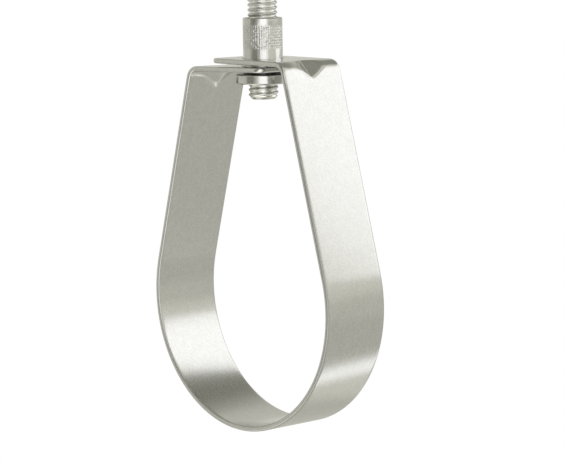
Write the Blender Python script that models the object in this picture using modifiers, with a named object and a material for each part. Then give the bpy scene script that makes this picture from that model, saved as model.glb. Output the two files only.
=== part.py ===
"""Adjustable band hanger for a sprinkler pipe, in metres, +Z up.

A flat steel strip is bent into a teardrop loop, and its two ends fold over as tabs
that lie one above the other. A flanged, knurled nut stands in the holes of both tabs
and turns on a threaded rod, which hangs the loop from a ceiling.
The origin is the middle of the rod's top face. X runs in the plane of the loop and
Y runs across the strip.
"""
import math

import bmesh
import bpy
from mathutils import Vector

# Band: the strip, the round of the loop, and how its arms lean in to the tabs.
STRIP_THICKNESS = 0.0016
STRIP_WIDTH = 0.0245
LOOP_INNER_RADIUS = 0.0400
ARM_LEAN = math.radians(15.15)
BEND_INNER_RADIUS = 0.0030
TAB_RISE = math.radians(0.68)
TAB_ABOVE_LOOP_CENTRE = 0.0736
TAB_GAP = 0.0009
TAB_LAND = 0.0050
TAB_CORNER_RADIUS = 0.0028

# Ribs: the grooves that stiffen the two top bends.
RIB_DEPTH = 0.00195
RIB_HALF_WIDTH = 0.0053
RIB_PRESS_ANGLE = math.radians(45.0)

# Nut: a barrel on a round flange.
BARREL_DIAMETER = 0.0127
FLANGE_DIAMETER = 0.0175
FLANGE_THICKNESS = 0.0030
NUT_HEIGHT = 0.0210
NUT_CHAMFER = 0.0003
BORE_CHAMFER = 0.0006

# Rod: a 3/8 inch, 16 per inch thread, and the piece of it that stands below the nut.
ROD_DIAMETER = 0.009525
ROD_LENGTH = 0.0635
ROD_BELOW_NUT = 0.0050
ROD_CHAMFER = 0.0012
THREAD_PITCH = 0.0015875
THREAD_DEPTH_IN_PITCHES = 0.61
THREAD_CREST_IN_PITCHES = 0.125

# Clearances between pieces that touch or move on each other.
HOLE_CLEARANCE = 0.0004
THREAD_CLEARANCE = 0.0003
FLANGE_PLAY = 0.0010

# How finely curves are divided, and how far a cutter stands past what it cuts.
LOOP_SEGMENTS = 71
BEND_SEGMENTS = 10
CORNER_SEGMENTS = 6
TURN_SEGMENTS = 64
THREAD_SEGMENTS = 20
CUTTER_MARGIN = 0.002

# Places along the rod's axis, from the top down.
ROD_END_Z = -ROD_LENGTH
NUT_BOTTOM_Z = ROD_END_Z + ROD_BELOW_NUT
NUT_TOP_Z = NUT_BOTTOM_Z + NUT_HEIGHT
FLANGE_TOP_Z = NUT_BOTTOM_Z + FLANGE_THICKNESS
LOWER_TAB_Z = FLANGE_TOP_Z + FLANGE_PLAY
UPPER_TAB_Z = LOWER_TAB_Z + STRIP_THICKNESS + TAB_GAP
LOOP_CENTRE_Z = LOWER_TAB_Z - TAB_ABOVE_LOOP_CENTRE

# Radii that follow from the sizes above.
HALF_STRIP = STRIP_THICKNESS / 2
LOOP_MID_RADIUS = LOOP_INNER_RADIUS + HALF_STRIP
BEND_MID_RADIUS = BEND_INNER_RADIUS + HALF_STRIP
BEND_OUTER_RADIUS = BEND_INNER_RADIUS + STRIP_THICKNESS
BARREL_RADIUS = BARREL_DIAMETER / 2
FLANGE_RADIUS = FLANGE_DIAMETER / 2
ROD_RADIUS = ROD_DIAMETER / 2
HOLE_RADIUS = BARREL_RADIUS + HOLE_CLEARANCE
BORE_RADIUS = ROD_RADIUS + THREAD_CLEARANCE
TAB_REACH = HOLE_RADIUS + TAB_LAND

# The thread's section, from the shares of its pitch above.
THREAD_DEPTH = THREAD_DEPTH_IN_PITCHES * THREAD_PITCH
THREAD_CREST = THREAD_CREST_IN_PITCHES * THREAD_PITCH

# Where a rib's two ridges run, measured from the bend's centre along the press direction.
RIB_SLOPE = RIB_DEPTH / RIB_HALF_WIDTH
RIB_OUTER_LEVEL = BEND_OUTER_RADIUS - RIB_DEPTH
RIB_INNER_LEVEL = RIB_OUTER_LEVEL - STRIP_THICKNESS * math.hypot(1.0, RIB_SLOPE)


def clear_scene():
    """Remove every object of the open scene."""
    for old in list(bpy.data.objects):
        bpy.data.objects.remove(old, do_unlink=True)


def new_collection(name):
    """A collection linked to the scene."""
    collection = bpy.data.collections.new(name)
    bpy.context.scene.collection.children.link(collection)
    return collection


def steel(name, colour, roughness):
    """A metal material of one colour and roughness."""
    material = bpy.data.materials.new(name)
    material.use_nodes = True
    shader = material.node_tree.nodes["Principled BSDF"]
    shader.inputs["Base Color"].default_value = (*colour, 1.0)
    shader.inputs["Metallic"].default_value = 1.0
    shader.inputs["Roughness"].default_value = roughness
    return material


def object_from_bmesh(bm, name, collection):
    """Put a bmesh into a new object and release it."""
    mesh = bpy.data.meshes.new(name)
    bm.to_mesh(mesh)
    bm.free()
    thing = bpy.data.objects.new(name, mesh)
    collection.objects.link(thing)
    return thing


def hide_tool(tool):
    """Show a cutting or joining tool as a wire that never renders."""
    tool.display_type = "WIRE"
    tool.hide_render = True


def add_boolean(target, tool, operation):
    """Cut a tool from the target, or join it on."""
    modifier = target.modifiers.new(tool.name, "BOOLEAN")
    modifier.operation = operation
    modifier.object = tool


def arc_points(centre, radius, start, end, segments):
    """Points on an arc in the XZ plane, with both ends, as (x, z)."""
    points = []
    for step in range(segments + 1):
        angle = start + (end - start) * step / segments
        points.append((centre[0] + radius * math.cos(angle), centre[1] + radius * math.sin(angle)))
    return points


def bend_centre(tab_z):
    """Centre (x, z) of the left top bend whose tab has its underside at tab_z over the axis.

    The arm leaves the loop as a tangent. Its length is the one that brings the middle of
    the tab's thickness, which climbs by TAB_RISE, to the right height at the axis.
    """
    tab_mid = tab_z + HALF_STRIP - LOOP_CENTRE_Z
    sine, cosine, climb = math.sin(ARM_LEAN), math.cos(ARM_LEAN), math.tan(TAB_RISE)
    foot_x = -LOOP_MID_RADIUS * cosine
    foot_z = LOOP_MID_RADIUS * sine
    bend_x = foot_x + BEND_MID_RADIUS * cosine
    bend_z = foot_z - BEND_MID_RADIUS * sine
    tab_start_x = bend_x - BEND_MID_RADIUS * math.sin(TAB_RISE)
    tab_start_z = bend_z + BEND_MID_RADIUS * math.cos(TAB_RISE)
    arm_length = (tab_mid - tab_start_z + tab_start_x * climb) / (cosine - sine * climb)
    return bend_x + arm_length * sine, LOOP_CENTRE_Z + bend_z + arm_length * cosine


def tab_and_bend(tab_z):
    """Points (x, z) of the left side from the tab's free end round its bend to the arm."""
    centre = bend_centre(tab_z)
    bend = arc_points(centre, BEND_MID_RADIUS, math.pi / 2 + TAB_RISE, math.pi - ARM_LEAN, BEND_SEGMENTS)
    end_x = TAB_REACH
    end_z = bend[0][1] + (end_x - bend[0][0]) * math.tan(TAB_RISE)
    return [(end_x, end_z)] + bend


def strip_path():
    """The whole strip's middle line, from the lower tab's end to the upper tab's end."""
    left = tab_and_bend(LOWER_TAB_Z)
    right = [(-x, z) for x, z in reversed(tab_and_bend(UPPER_TAB_Z))]
    loop_centre = (0.0, LOOP_CENTRE_Z)
    loop = arc_points(loop_centre, LOOP_MID_RADIUS, math.pi - ARM_LEAN, 2 * math.pi + ARM_LEAN, LOOP_SEGMENTS)
    return left + loop + right


def make_hole_cutter(collection):
    """One upright cylinder that cuts the holes of both tabs."""
    bm = bmesh.new()
    low = FLANGE_TOP_Z
    high = UPPER_TAB_Z + STRIP_THICKNESS + CUTTER_MARGIN
    bmesh.ops.create_cone(
        bm, cap_ends=True, segments=TURN_SEGMENTS, radius1=HOLE_RADIUS, radius2=HOLE_RADIUS, depth=high - low
    )
    bmesh.ops.translate(bm, verts=bm.verts, vec=(0.0, 0.0, (low + high) / 2))
    return object_from_bmesh(bm, "tab_hole_cutter", collection)


def rib_frame(side, tab_z):
    """Bend centre and the directions of a rib: outwards at the press angle, and along its ridge.

    side is -1 for the left bend and 1 for the right one, which is the left one mirrored.
    """
    x, z = bend_centre(tab_z)
    centre = Vector((-side * x, 0.0, z))
    outward = Vector((side * math.cos(RIB_PRESS_ANGLE), 0.0, math.sin(RIB_PRESS_ANGLE)))
    along = Vector((side * math.sin(RIB_PRESS_ANGLE), 0.0, -math.cos(RIB_PRESS_ANGLE)))
    return centre, outward, along


def make_rib_groove(name, side, tab_z, collection):
    """The pressing tool: a long wedge whose edge lies at the groove's bottom."""
    centre, outward, along = rib_frame(side, tab_z)
    half_span = STRIP_WIDTH / 2 + CUTTER_MARGIN
    length = 2 * (BEND_OUTER_RADIUS + RIB_HALF_WIDTH)
    top = RIB_OUTER_LEVEL + RIB_SLOPE * half_span + CUTTER_MARGIN
    section = [
        (0.0, RIB_OUTER_LEVEL),
        (half_span, RIB_OUTER_LEVEL + RIB_SLOPE * half_span),
        (half_span, top),
        (-half_span, top),
        (-half_span, RIB_OUTER_LEVEL + RIB_SLOPE * half_span),
    ]
    bm = bmesh.new()
    corners = []
    for across, level in section:
        corners.append(bm.verts.new(centre + outward * level + Vector((0.0, across, 0.0)) - along * length / 2))
    face = bm.faces.new(corners)
    swept = bmesh.ops.extrude_face_region(bm, geom=[face])
    moved = [item for item in swept["geom"] if isinstance(item, bmesh.types.BMVert)]
    bmesh.ops.translate(bm, verts=moved, vec=along * length)
    bmesh.ops.recalc_face_normals(bm, faces=bm.faces)
    return object_from_bmesh(bm, name, collection)


def make_rib_bump(name, side, tab_z, collection):
    """The metal that the groove pushes into the bend: a four-cornered body.

    Its ridge runs from the middle of the tab's thickness to the middle of the arm's.
    Its other two corners lie on the bend's middle line, where the wedge's flanks meet it.
    """
    centre, outward, along = rib_frame(side, tab_z)
    tab_normal = Vector((side * math.sin(TAB_RISE), 0.0, math.cos(TAB_RISE)))
    arm_normal = Vector((side * math.cos(ARM_LEAN), 0.0, math.sin(ARM_LEAN)))
    corners = []
    for normal in (tab_normal, arm_normal):
        travel = (BEND_MID_RADIUS - RIB_INNER_LEVEL * normal.dot(outward)) / normal.dot(along)
        corners.append(centre + outward * RIB_INNER_LEVEL + along * travel)
    half_span = (BEND_MID_RADIUS - RIB_INNER_LEVEL) / RIB_SLOPE
    for across in (half_span, -half_span):
        corners.append(centre + outward * BEND_MID_RADIUS + Vector((0.0, across, 0.0)))
    bm = bmesh.new()
    for corner in corners:
        bm.verts.new(corner)
    bmesh.ops.convex_hull(bm, input=bm.verts)
    bmesh.ops.recalc_face_normals(bm, faces=bm.faces)
    return object_from_bmesh(bm, name, collection)


def make_band(collection, tools, material):
    """The folded strip: a sheet along the path, thickened, ribbed at the bends and holed."""
    bm = bmesh.new()
    near = [bm.verts.new((x, -STRIP_WIDTH / 2, z)) for x, z in strip_path()]
    edges = [bm.edges.new(pair) for pair in zip(near, near[1:])]
    swept = bmesh.ops.extrude_edge_only(bm, edges=edges)
    far = [item for item in swept["geom"] if isinstance(item, bmesh.types.BMVert)]
    bmesh.ops.translate(bm, verts=far, vec=(0.0, STRIP_WIDTH, 0.0))
    bmesh.ops.recalc_face_normals(bm, faces=bm.faces)
    corners = [vert for vert in bm.verts if len(vert.link_edges) == 2]
    bmesh.ops.bevel(
        bm,
        geom=corners,
        offset=TAB_CORNER_RADIUS,
        offset_type="OFFSET",
        segments=CORNER_SEGMENTS,
        profile=0.5,
        affect="VERTICES",
    )
    band = object_from_bmesh(bm, "band", collection)
    solidify = band.modifiers.new("thickness", "SOLIDIFY")
    solidify.thickness = STRIP_THICKNESS
    solidify.offset = 0.0
    solidify.use_even_offset = True
    for label, side, tab_z in (("left", -1, LOWER_TAB_Z), ("right", 1, UPPER_TAB_Z)):
        bump = make_rib_bump(label + "_rib_bump", side, tab_z, tools)
        groove = make_rib_groove(label + "_rib_groove", side, tab_z, tools)
        hide_tool(bump)
        hide_tool(groove)
        add_boolean(band, bump, "UNION")
        add_boolean(band, groove, "DIFFERENCE")
    hole = make_hole_cutter(tools)
    hide_tool(hole)
    add_boolean(band, hole, "DIFFERENCE")
    band.data.materials.append(material)
    return band


def turned(name, profile, closed, collection, material):
    """A body turned about the Z axis from a profile of (radius, z) points."""
    bm = bmesh.new()
    verts = [bm.verts.new((radius, 0.0, z)) for radius, z in profile]
    pairs = list(zip(verts, verts[1:]))
    if closed:
        pairs.append((verts[-1], verts[0]))
    for pair in pairs:
        bm.edges.new(pair)
    body = object_from_bmesh(bm, name, collection)
    screw = body.modifiers.new("turn", "SCREW")
    screw.axis = "Z"
    screw.angle = 2 * math.pi
    screw.steps = TURN_SEGMENTS
    screw.render_steps = TURN_SEGMENTS
    screw.use_merge_vertices = True
    screw.merge_threshold = 0.00001
    screw.use_smooth_shade = False
    body.data.materials.append(material)
    return body


def make_nut(collection, material):
    """The flanged nut: flange at the bottom, barrel above, a bore right through."""
    profile = [
        (BORE_RADIUS + BORE_CHAMFER, NUT_TOP_Z),
        (BARREL_RADIUS - NUT_CHAMFER, NUT_TOP_Z),
        (BARREL_RADIUS, NUT_TOP_Z - NUT_CHAMFER),
        (BARREL_RADIUS, FLANGE_TOP_Z),
        (FLANGE_RADIUS - NUT_CHAMFER, FLANGE_TOP_Z),
        (FLANGE_RADIUS, FLANGE_TOP_Z - NUT_CHAMFER),
        (FLANGE_RADIUS, NUT_BOTTOM_Z + NUT_CHAMFER),
        (FLANGE_RADIUS - NUT_CHAMFER, NUT_BOTTOM_Z),
        (BORE_RADIUS + BORE_CHAMFER, NUT_BOTTOM_Z),
        (BORE_RADIUS, NUT_BOTTOM_Z + BORE_CHAMFER),
        (BORE_RADIUS, NUT_TOP_Z - BORE_CHAMFER),
    ]
    return turned("knurled_nut", profile, True, collection, material)


def make_thread(collection):
    """The threaded skin, closed by a fan at each end, and longer than the rod at both.

    One pitch of the profile, a flat crest and two flanks that meet in the root, is spun up
    round the Z axis. Each turn's foot then lies on the head of the turn below it. A fan
    fills the end's last turn, which is one pitch tall, so the skin runs a turn and a half
    past the rod to keep both fans clear of it.
    """
    turns = math.ceil(ROD_LENGTH / THREAD_PITCH) + 2
    start_z = ROD_END_Z - 1.5 * THREAD_PITCH
    end_z = start_z + THREAD_PITCH * (turns + 1)
    middle_z = (start_z + end_z) / 2
    profile = [
        (ROD_RADIUS, start_z),
        (ROD_RADIUS, start_z + THREAD_CREST),
        (ROD_RADIUS - THREAD_DEPTH, start_z + (THREAD_CREST + THREAD_PITCH) / 2),
        (ROD_RADIUS, start_z + THREAD_PITCH),
    ]
    bm = bmesh.new()
    verts = [bm.verts.new((radius, 0.0, z)) for radius, z in profile]
    edges = [bm.edges.new(pair) for pair in zip(verts, verts[1:])]
    bmesh.ops.spin(
        bm,
        geom=verts + edges,
        axis=(0.0, 0.0, 1.0),
        dvec=(0.0, 0.0, THREAD_PITCH / THREAD_SEGMENTS),
        angle=2 * math.pi * turns,
        steps=THREAD_SEGMENTS * turns,
    )
    bmesh.ops.remove_doubles(bm, verts=bm.verts, dist=THREAD_PITCH / 1000)
    rims = [edge for edge in bm.edges if edge.is_boundary]
    foot = bm.verts.new((0.0, 0.0, start_z))
    head = bm.verts.new((0.0, 0.0, end_z))
    for rim in rims:
        hub = foot if rim.verts[0].co.z < middle_z else head
        bm.faces.new((hub, rim.verts[0], rim.verts[1]))
    bmesh.ops.recalc_face_normals(bm, faces=bm.faces)
    return object_from_bmesh(bm, "thread_helix", collection)


def make_rod(collection, tools, material):
    """The threaded rod: a blank with a chamfer at each end, kept where it lies in the thread."""
    blank_radius = ROD_RADIUS + THREAD_CLEARANCE / 2
    end_radius = ROD_RADIUS - ROD_CHAMFER
    chamfer = blank_radius - end_radius
    profile = [
        (0.0, 0.0),
        (end_radius, 0.0),
        (blank_radius, -chamfer),
        (blank_radius, ROD_END_Z + chamfer),
        (end_radius, ROD_END_Z),
        (0.0, ROD_END_Z),
    ]
    rod = turned("threaded_rod", profile, False, collection, material)
    thread = make_thread(tools)
    hide_tool(thread)
    add_boolean(rod, thread, "INTERSECT")
    return rod


def main():
    """Build the hanger: the band, the nut that carries it and the rod that holds both."""
    clear_scene()
    parts = new_collection("sprinkler_pipe_hanger")
    tools = new_collection("hanger_tools")
    make_band(parts, tools, steel("plated strip", (0.66, 0.66, 0.62), 0.34))
    make_nut(parts, steel("plated nut", (0.62, 0.62, 0.59), 0.30))
    make_rod(parts, tools, steel("plated rod", (0.60, 0.60, 0.57), 0.32))


main()
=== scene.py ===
# %% [markdown]
# # A band hanger for a sprinkler pipe
#
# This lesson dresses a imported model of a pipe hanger. The real thing is three pieces of
# zinc-plated steel: a strip folded into a teardrop, a knurled nut that stands in the
# strip's two overlapping tabs, and the threaded rod that the nut runs on.
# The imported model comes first, because every size and place below is taken from it.

import bmesh
import bpy
import numpy as np
from mathutils import Matrix, Vector


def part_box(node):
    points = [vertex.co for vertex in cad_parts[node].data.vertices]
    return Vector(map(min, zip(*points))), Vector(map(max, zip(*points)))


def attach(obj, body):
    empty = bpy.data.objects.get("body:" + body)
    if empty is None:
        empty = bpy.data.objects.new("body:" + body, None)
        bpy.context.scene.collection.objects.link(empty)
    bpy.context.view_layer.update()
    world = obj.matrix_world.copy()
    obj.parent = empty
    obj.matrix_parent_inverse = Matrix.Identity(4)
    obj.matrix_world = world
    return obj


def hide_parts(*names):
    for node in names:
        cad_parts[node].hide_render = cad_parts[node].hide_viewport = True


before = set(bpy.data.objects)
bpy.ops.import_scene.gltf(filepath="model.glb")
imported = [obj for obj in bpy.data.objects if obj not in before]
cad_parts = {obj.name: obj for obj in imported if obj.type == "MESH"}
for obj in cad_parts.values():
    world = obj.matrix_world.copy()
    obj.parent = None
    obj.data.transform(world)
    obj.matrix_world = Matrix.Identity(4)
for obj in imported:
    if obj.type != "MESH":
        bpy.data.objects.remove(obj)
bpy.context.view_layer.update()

band_low, band_high = (np.array(corner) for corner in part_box("band"))
nut_low, nut_high = (np.array(corner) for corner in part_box("knurled_nut"))
rod_low, rod_high = (np.array(corner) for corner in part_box("threaded_rod"))
print("band", (band_high - band_low) * 1000, "mm, nut top at", nut_high[2], "m, rod end at", rod_low[2], "m")

# %% [markdown]
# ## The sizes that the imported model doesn't give
#
# A box gives the outer size of a piece, and no wall, radius or lean. Those are named here
# once, in metres, and every surface below is worked out from them.

# %% Sizes of the strip, the nut and the rod
STRIP_THICKNESS = 0.0016
STRIP_WIDTH = band_high[1] - band_low[1]
LOOP_OUTER_RADIUS = (band_high[0] - band_low[0]) / 2
ARM_LEAN = np.radians(15.15)
BEND_INNER_RADIUS = 0.0030
TAB_RISE = np.radians(0.68)
TAB_ABOVE_LOOP_CENTRE = 0.0736
TAB_GAP = 0.0009
TAB_REACH = 0.01175
TAB_CORNER_RADIUS = 0.0028
HOLE_RADIUS = 0.00675
RIM_RADIUS = 0.00060

BARREL_RADIUS = 0.00635
FLANGE_RADIUS = (nut_high[0] - nut_low[0]) / 2
FLANGE_THICKNESS = 0.0030
ROD_RADIUS = 0.0047625
ROD_CHAMFER = 0.0012
THREAD_PITCH = 0.0015875

HALF_STRIP = STRIP_THICKNESS / 2
HALF_WIDTH = STRIP_WIDTH / 2
LOOP_MID_RADIUS = LOOP_OUTER_RADIUS - HALF_STRIP
LOOP_CENTRE_Z = band_low[2] + LOOP_OUTER_RADIUS
BEND_MID_RADIUS = BEND_INNER_RADIUS + HALF_STRIP
print("loop centre at", round(LOOP_CENTRE_Z, 5), "m, loop middle radius", round(LOOP_MID_RADIUS, 5), "m")

# %% [markdown]
# ## The camera
#
# The view looks at the hanger from its front right corner and a little from above. A long
# lens from 0.78 m keeps the near and the far side of the loop nearly the same size. The
# camera is placed by its angles about the loop's centre and then slid sideways and up in
# its own picture plane, so the hanger stands where it should in the frame.

# %% The camera and its place
VIEW_AZIMUTH = np.radians(47.62)
VIEW_ELEVATION = np.radians(7.14)
VIEW_ROLL = np.radians(-0.883)
VIEW_DISTANCE = 0.780
SLIDE_RIGHT = 0.004863
SLIDE_UP = 0.022123
PICTURE_WIDTH = 564
PIXELS_PER_METRE = 3094.5
SENSOR_WIDTH = 36.0
NEAREST_SEEN = 0.01


def view_axes(azimuth, elevation, roll):
    """The camera's right, up and backward directions.

    Backward points from the hanger to the camera. Right is level, up is square to both,
    and the roll turns right and up about the line of sight.
    """
    backward = np.array(
        [np.sin(azimuth) * np.cos(elevation), -np.cos(azimuth) * np.cos(elevation), np.sin(elevation)]
    )
    level = np.array([np.cos(azimuth), np.sin(azimuth), 0.0])
    upright = np.cross(backward, level)
    right = level * np.cos(roll) + upright * np.sin(roll)
    up = upright * np.cos(roll) - level * np.sin(roll)
    return right, up, backward


def make_camera():
    """A camera with a long lens that stands back from the loop's centre, slid right and up."""
    right, up, backward = view_axes(VIEW_AZIMUTH, VIEW_ELEVATION, VIEW_ROLL)
    place = np.array([0.0, 0.0, LOOP_CENTRE_Z])
    place = place + backward * VIEW_DISTANCE + right * SLIDE_RIGHT + up * SLIDE_UP
    data = bpy.data.cameras.new("studio_camera")
    data.sensor_width = SENSOR_WIDTH
    data.lens = SENSOR_WIDTH * PIXELS_PER_METRE * VIEW_DISTANCE / PICTURE_WIDTH
    data.clip_start = NEAREST_SEEN
    camera = bpy.data.objects.new("studio_camera", data)
    turned = np.column_stack([right, up, backward])
    camera.matrix_world = Matrix.LocRotScale(Vector(place), Matrix(turned.tolist()).to_quaternion(), None)
    bpy.context.scene.collection.objects.link(camera)
    bpy.context.scene.camera = camera
    return camera


camera = make_camera()
print("lens", round(camera.data.lens, 2), "mm at", [round(value, 4) for value in camera.location])

# %% [markdown]
# ## The studio
#
# Polished metal has hardly a look of its own: it shows the room. A product photographer
# therefore stands white cards and grey flags round the piece, and places each by what the
# metal should show. The world here is plain white at strength 1, for the camera, for glass
# and for the soft light on matt things. Only for glossy rays is that white dimmed to the
# warm grey of a studio's walls and table.

# %% The walls and the table
WALL_LEVEL = 0.66
TABLE_LEVEL = 0.60
TABLE_EDGE = (np.sin(np.radians(-15.0)), np.sin(np.radians(-11.0)))
STUDIO_TINT = (1.01, 1.0, 0.90)
WHITE = (1.0, 1.0, 1.0)


def math_node(tree, operation, *values):
    """A math node whose inputs are numbers or other nodes' outputs; returns its output."""
    node = tree.nodes.new("ShaderNodeMath")
    node.operation = operation
    for socket, value in zip(node.inputs, values):
        if isinstance(value, bpy.types.NodeSocket):
            tree.links.new(value, socket)
        else:
            socket.default_value = value
    return node.outputs[0]


def vector_node(tree, operation, first, second, output=0):
    """A vector math node on an output and another output or a vector; returns its output."""
    node = tree.nodes.new("ShaderNodeVectorMath")
    node.operation = operation
    tree.links.new(first, node.inputs[0])
    if isinstance(second, bpy.types.NodeSocket):
        tree.links.new(second, node.inputs[1])
    else:
        node.inputs[1].default_value = second
    return node.outputs[output]


def range_node(tree, value, source, target, kind="LINEAR"):
    """Carry a value from the source range to the target range."""
    node = tree.nodes.new("ShaderNodeMapRange")
    node.interpolation_type = kind
    for name, number in zip(("From Min", "From Max", "To Min", "To Max"), (*source, *target)):
        node.inputs[name].default_value = number
    tree.links.new(value, node.inputs["Value"])
    return node.outputs["Result"]


def product_of(tree, product, *factors):
    """The product of some outputs."""
    for factor in factors:
        product = math_node(tree, "MULTIPLY", product, factor)
    return product


def add_tint(tree, colour, *factors):
    """A colour made lighter or darker by the product of some factors."""
    node = tree.nodes.new("ShaderNodeVectorMath")
    node.operation = "SCALE"
    node.inputs[0].default_value = colour
    tree.links.new(product_of(tree, *factors), node.inputs["Scale"])
    return node.outputs[0]


def split(tree, vector):
    """The X, Y and Z of a vector, as the outputs of one node."""
    node = tree.nodes.new("ShaderNodeSeparateXYZ")
    tree.links.new(vector, node.inputs[0])
    return node.outputs


def make_walls():
    """White for camera, transmission and diffuse rays, and walls over a table for glossy rays.

    The Mix node has a set of sockets for each kind of data. Those for a vector are its inputs
    4 and 5 and its output 1.
    """
    world = bpy.data.worlds.new("studio")
    world.use_nodes = True
    tree = world.node_tree
    tree.nodes.clear()
    place = tree.nodes.new("ShaderNodeTexCoord")
    rise = split(tree, place.outputs["Generated"])["Z"]
    level = range_node(tree, rise, TABLE_EDGE, (TABLE_LEVEL, WALL_LEVEL), "SMOOTHSTEP")
    rays = tree.nodes.new("ShaderNodeLightPath")
    shown = tree.nodes.new("ShaderNodeMix")
    shown.data_type = "VECTOR"
    tree.links.new(rays.outputs["Is Glossy Ray"], shown.inputs["Factor"])
    shown.inputs[4].default_value = WHITE
    tree.links.new(add_tint(tree, STUDIO_TINT, level), shown.inputs[5])
    background = tree.nodes.new("ShaderNodeBackground")
    tree.links.new(shown.outputs[1], background.inputs["Color"])
    output = tree.nodes.new("ShaderNodeOutputWorld")
    tree.links.new(background.outputs[0], output.inputs["Surface"])
    bpy.context.scene.world = world
    bpy.context.scene.view_settings.view_transform = "Standard"


make_walls()
print("walls at", WALL_LEVEL, "and table at", TABLE_LEVEL, "of white, for glossy rays")

# %% [markdown]
# ## The cards and flags
#
# The cards are real panels close to the hanger. A far card would look the same from every
# point of a flat face, but a near one drifts along it, which gives a long flat arm its
# soft run from grey to white. Only glossy rays see them, so they light nothing and stand in
# no picture. Each is one square of paper whose soft edge is worked out in its material.

# %% Panels that only reflections see
# name: azimuth, elevation and roll in degrees, distance, half its width and half its height in
# metres, softness of the edge, and brightness. Azimuth 0 is along +X and 90 along +Y.
CARDS = {
    "dark_ceiling": (132, 75.7, -35, 0.496, 0.363, 0.362, 0.22, 0.32),
    "side_wall": (21, 33.7, -4, 0.469, 0.338, 0.292, 0.11, 0.81),
    "side_flag": (103, 27.1, -21, 0.463, 0.091, 0.086, 0.16, 0.31),
    "back_softbox": (62, 28.8, 11, 0.402, 0.175, 0.113, 0.10, 1.58),
    "white_table": (-103, -63.0, 0, 0.495, 0.420, 0.240, 0.25, 1.30),
    "table_glow": (85, -47.4, 21, 0.862, 0.251, 0.081, 0.70, 0.82),
    "table_sheet": (60, -43.6, -3, 0.309, 0.0245, 0.060, 0.42, 1.53),
    "front_window": (-45, -15.3, -19, 0.296, 0.132, 0.316, 0.39, 1.58),
    "narrow_flag": (-94, 26.0, -25, 0.170, 0.050, 0.264, 0.49, 0.27),
    "back_strip": (159, 3.4, -2, 0.672, 0.378, 0.078, 0.65, 0.80),
}
FLAG_TINT = (0.985, 1.0, 0.85)
BRIGHT_LEVEL = 1.5
DARK_LEVEL = 0.5


def card_tint(level):
    """White for the brightest cards, the flags' own tint for the darkest, else the studio's."""
    if level > BRIGHT_LEVEL:
        return WHITE
    if level < DARK_LEVEL:
        return FLAG_TINT
    return STUDIO_TINT


def keep_place(mesh, places):
    """Keep three numbers for each point of a mesh as its attribute "place"."""
    kept = mesh.attributes.new("place", "FLOAT_VECTOR", "POINT")
    kept.data.foreach_set("vector", places.ravel())


def kept_place(tree):
    """The attribute "place" of whatever piece wears the material."""
    node = tree.nodes.new("ShaderNodeAttribute")
    node.attribute_name = "place"
    return node.outputs["Vector"]


def fade_out(tree, surface, clear):
    """End a material with a surface that grows clear as a value goes from 0 to 1."""
    nothing = tree.nodes.new("ShaderNodeBsdfTransparent")
    mix = tree.nodes.new("ShaderNodeMixShader")
    tree.links.new(clear, mix.inputs[0])
    tree.links.new(surface, mix.inputs[1])
    tree.links.new(nothing.outputs[0], mix.inputs[2])
    output = tree.nodes.new("ShaderNodeOutputMaterial")
    tree.links.new(mix.outputs[0], output.inputs["Surface"])


def card_paper(name, softness, level):
    """Glowing paper that grows clear over its soft edge.

    The fourth root of the sum of u and v to the fourth power is 1 on a rounded square. The
    paper is full below 1 less the softness and clear above 1 plus the softness.
    """
    material = bpy.data.materials.new(name)
    material.use_nodes = True
    material.cycles.emission_sampling = "NONE"
    tree = material.node_tree
    tree.nodes.clear()
    place = kept_place(tree)
    square = vector_node(tree, "MULTIPLY", place, place)
    fourth = vector_node(tree, "DOT_PRODUCT", square, square, "Value")
    edge = math_node(tree, "POWER", fourth, 0.25)
    clear = range_node(tree, edge, (1 - softness, 1 + softness), (0.0, 1.0), "SMOOTHERSTEP")
    glow = tree.nodes.new("ShaderNodeEmission")
    glow.inputs["Color"].default_value = (*card_tint(level), 1.0)
    glow.inputs["Strength"].default_value = level
    fade_out(tree, glow.outputs[0], clear)
    return material


def make_card(name, azimuth, elevation, roll, distance, half_width, half_height, softness, level):
    """A square panel that faces the loop's centre, with u and v kept as the attribute "place"."""
    across, up, towards = view_axes(np.radians(azimuth + 90), np.radians(elevation), np.radians(roll))
    u = np.array([-1.0, 1.0, 1.0, -1.0]) * (1 + softness)
    v = np.array([-1.0, -1.0, 1.0, 1.0]) * (1 + softness)
    middle = np.array([0.0, 0.0, LOOP_CENTRE_Z]) + towards * distance
    points = middle + np.outer(u * half_width, across) + np.outer(v * half_height, up)
    mesh = bpy.data.meshes.new(name)
    mesh.from_pydata(points, [], [(0, 1, 2, 3)])
    keep_place(mesh, np.stack([u, v, np.zeros(4)], axis=-1))
    mesh.materials.append(card_paper(name, softness, level))
    card = bpy.data.objects.new(name, mesh)
    for kind in ("camera", "diffuse", "transmission", "volume_scatter", "shadow"):
        setattr(card, "visible_" + kind, False)
    bpy.context.scene.collection.objects.link(card)
    return card


for name, card in CARDS.items():
    make_card(name, *card)
print(len(CARDS), "cards round the hanger")

# %% [markdown]
# ## Surfaces from arrays
#
# Each skin below is a sheet: an array of points with rows and columns. A point's faces are
# found by counting, so no loop visits a vertex. Where two sheets meet, their border points
# coincide, and merging them closes the piece. The normals are made to point outwards once
# the doubles are merged, because only then does Blender see one closed shell.

# %% Sheets, and the piece that they close
MERGE_DISTANCE = 0.000001


def sheet_faces(rows, columns, start):
    """Four-sided faces of a sheet whose points are numbered row by row from start.

    Each face joins a point to its right, diagonal and lower neighbour.
    """
    index = start + np.arange(rows * columns).reshape(rows, columns)
    corners = [index[:-1, :-1], index[:-1, 1:], index[1:, 1:], index[1:, :-1]]
    return np.stack(corners, axis=-1).reshape(-1, 4)


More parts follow.
